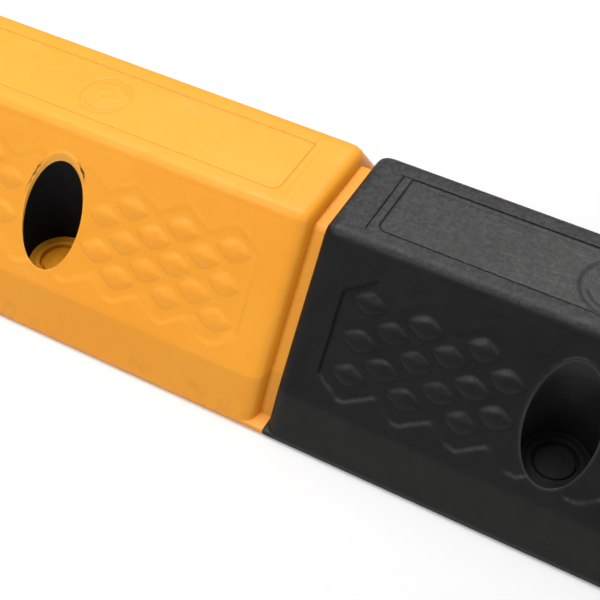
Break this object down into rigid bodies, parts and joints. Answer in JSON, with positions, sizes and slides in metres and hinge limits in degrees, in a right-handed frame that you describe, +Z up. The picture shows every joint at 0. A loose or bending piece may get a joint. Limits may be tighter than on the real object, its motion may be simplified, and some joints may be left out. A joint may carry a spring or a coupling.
{
  "type": "rubber speed bump",
  "caption": "Modular rubber speed bump: a yellow and a black module interlocked end to end, with grip diamonds, vertical fixing bores and lift-out plugs.",
  "frame": {"origin": "middle of the underside of the joined modules, on the ground", "axes": "+X along the bump from the yellow module to the black one, +Y across it to the rear slope, +Z up"},
  "size_m": [0.508, 0.152, 0.08],
  "materials": {
    "yellow_rubber": "satin moulded skin",
    "black_rubber": "satin moulded rubber",
    "galvanised_steel": "galvanised"
  },
  "bodies": {
    "yellow_module": {"yellow_skin": "yellow_rubber", "yellow_core": "black_rubber", "yellow_front_seat_pad": "yellow_rubber", "yellow_front_steel_washer": "galvanised_steel", "yellow_rear_seat_pad": "yellow_rubber", "yellow_rear_steel_washer": "galvanised_steel"},
    "black_module": {"black_body": "black_rubber", "black_front_seat_pad": "black_rubber", "black_front_steel_washer": "galvanised_steel", "black_rear_seat_pad": "black_rubber", "black_rear_steel_washer": "galvanised_steel"},
    "yellow_front_plug": {"yellow_front_bolt_hole_plug": "yellow_rubber"},
    "yellow_rear_plug": {"yellow_rear_bolt_hole_plug": "yellow_rubber"},
    "black_front_plug": {"black_front_bolt_hole_plug": "black_rubber"},
    "black_rear_plug": {"black_rear_bolt_hole_plug": "black_rubber"}
  },
  "joints": [
    {"name": "black_module_lift", "type": "slide", "parent": "yellow_module", "child": "black_module", "axis": [0, 0, 1], "range_m": [0, 0.1]},
    {"name": "yellow_front_plug_lift", "type": "slide", "parent": "yellow_module", "child": "yellow_front_plug", "axis": [0, 0, 1], "range_m": [0, 0.09]},
    {"name": "yellow_rear_plug_lift", "type": "slide", "parent": "yellow_module", "child": "yellow_rear_plug", "axis": [0, 0, 1], "range_m": [0, 0.09]},
    {"name": "black_front_plug_lift", "type": "slide", "parent": "black_module", "child": "black_front_plug", "axis": [0, 0, 1], "range_m": [0, 0.09]},
    {"name": "black_rear_plug_lift", "type": "slide", "parent": "black_module", "child": "black_rear_plug", "axis": [0, 0, 1], "range_m": [0, 0.09]}
  ]
}
